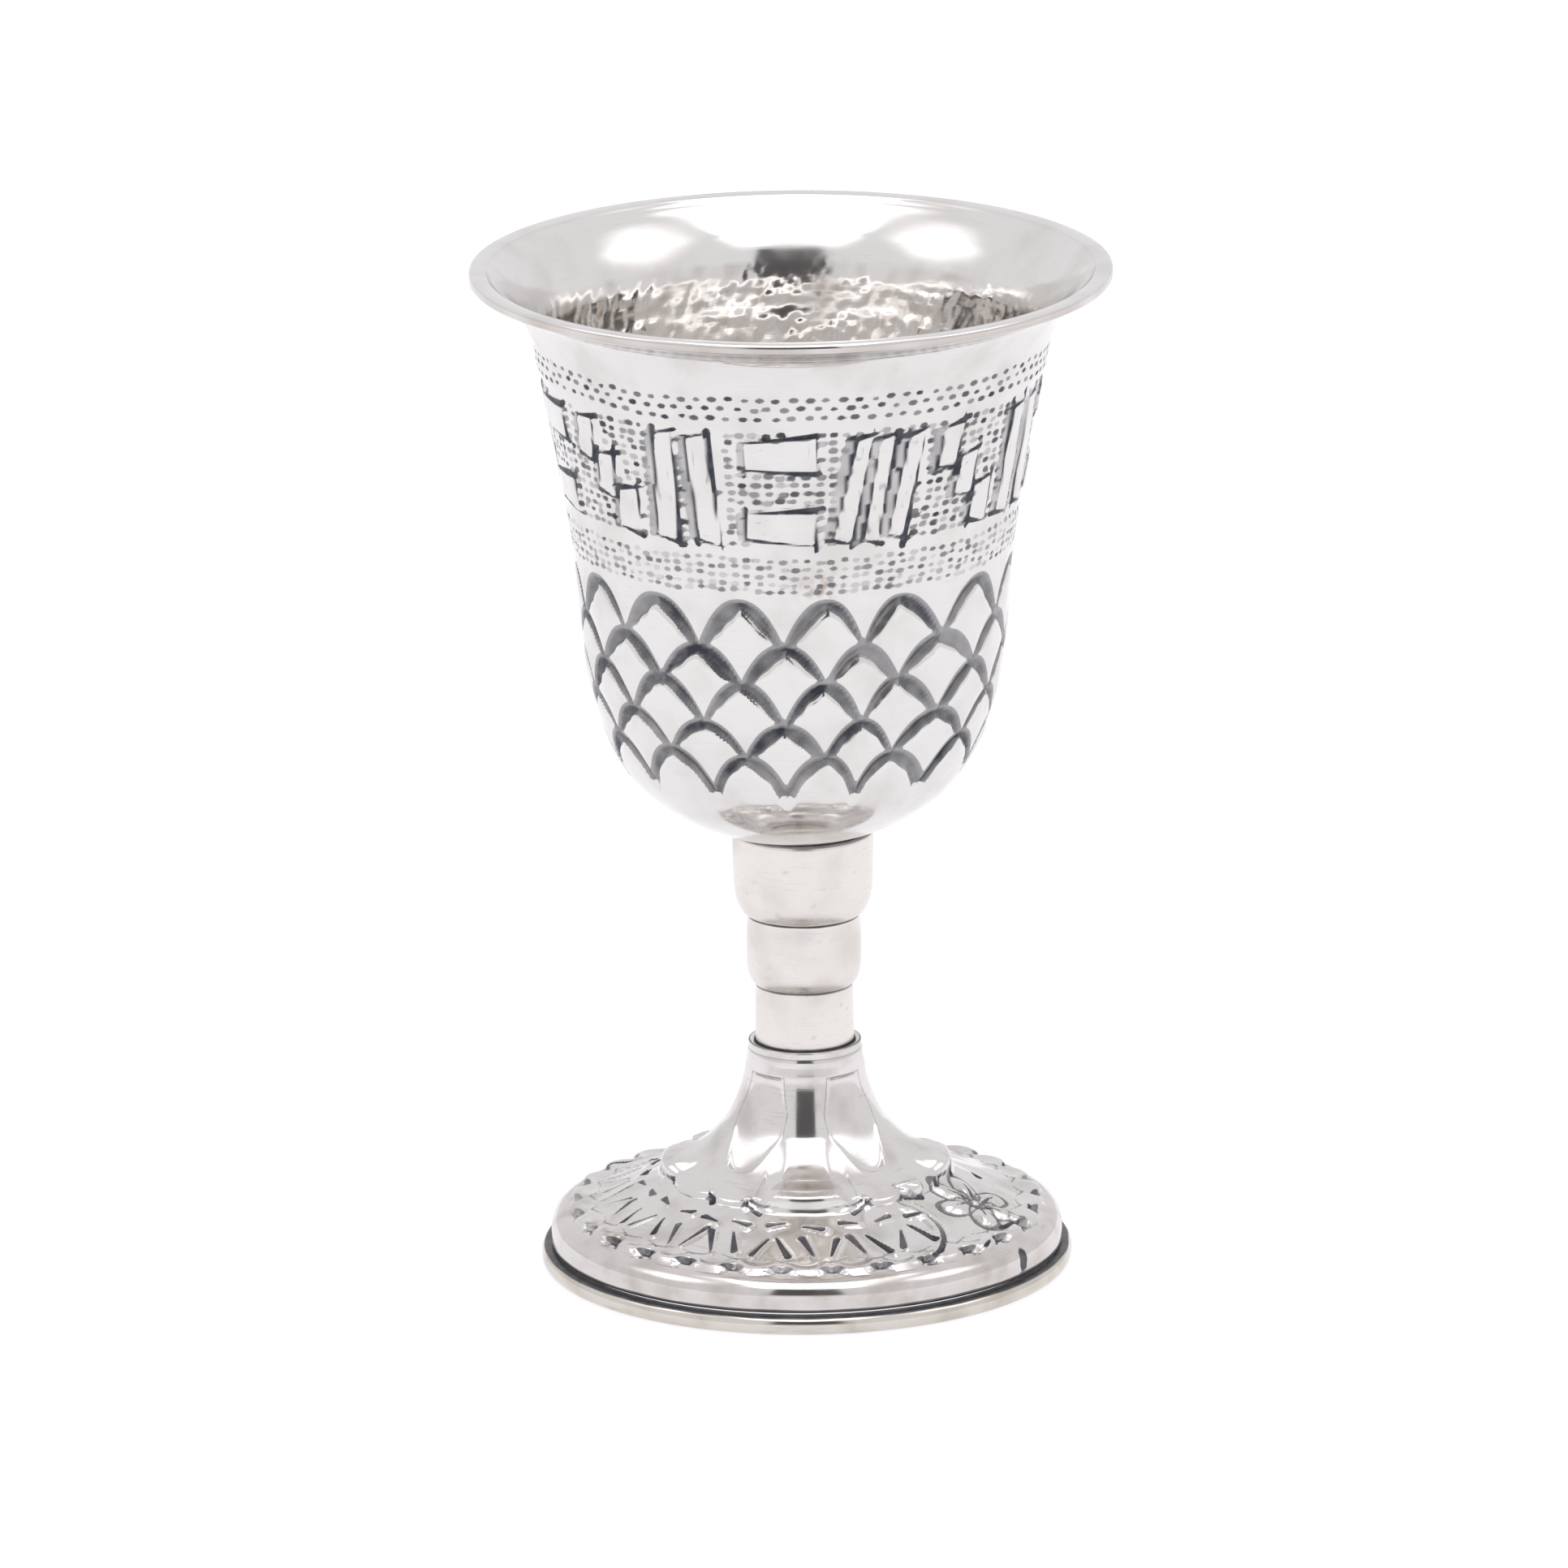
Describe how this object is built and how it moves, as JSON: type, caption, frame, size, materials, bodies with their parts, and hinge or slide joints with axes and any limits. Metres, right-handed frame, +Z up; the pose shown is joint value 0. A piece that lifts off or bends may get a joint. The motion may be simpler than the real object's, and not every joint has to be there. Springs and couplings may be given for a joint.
{
  "type": "kiddush cup",
  "caption": "Stemmed silver kiddush cup: a flared chased bowl with scales, a stepped stem and a stamped round foot.",
  "frame": {"origin": "centre of the base ring's flat underside, on the surface that the cup stands on", "axes": "+Z up along the stem, -Y towards the front, +X to the right seen from the front"},
  "size_m": [0.0761, 0.076, 0.1223],
  "materials": {
    "chased_silver": "polished sterling silver, hand-chased, with dark oxidised recesses",
    "spun_silver": "spun sterling silver with a soft satin lustre",
    "stamped_silver": "polished stamped sterling silver with dark oxidised recesses",
    "drawn_silver": "polished silver wire"
  },
  "bodies": {
    "root": {"bowl": "chased_silver", "stem": "spun_silver", "foot": "stamped_silver", "base_ring": "drawn_silver"}
  },
  "joints": []
}
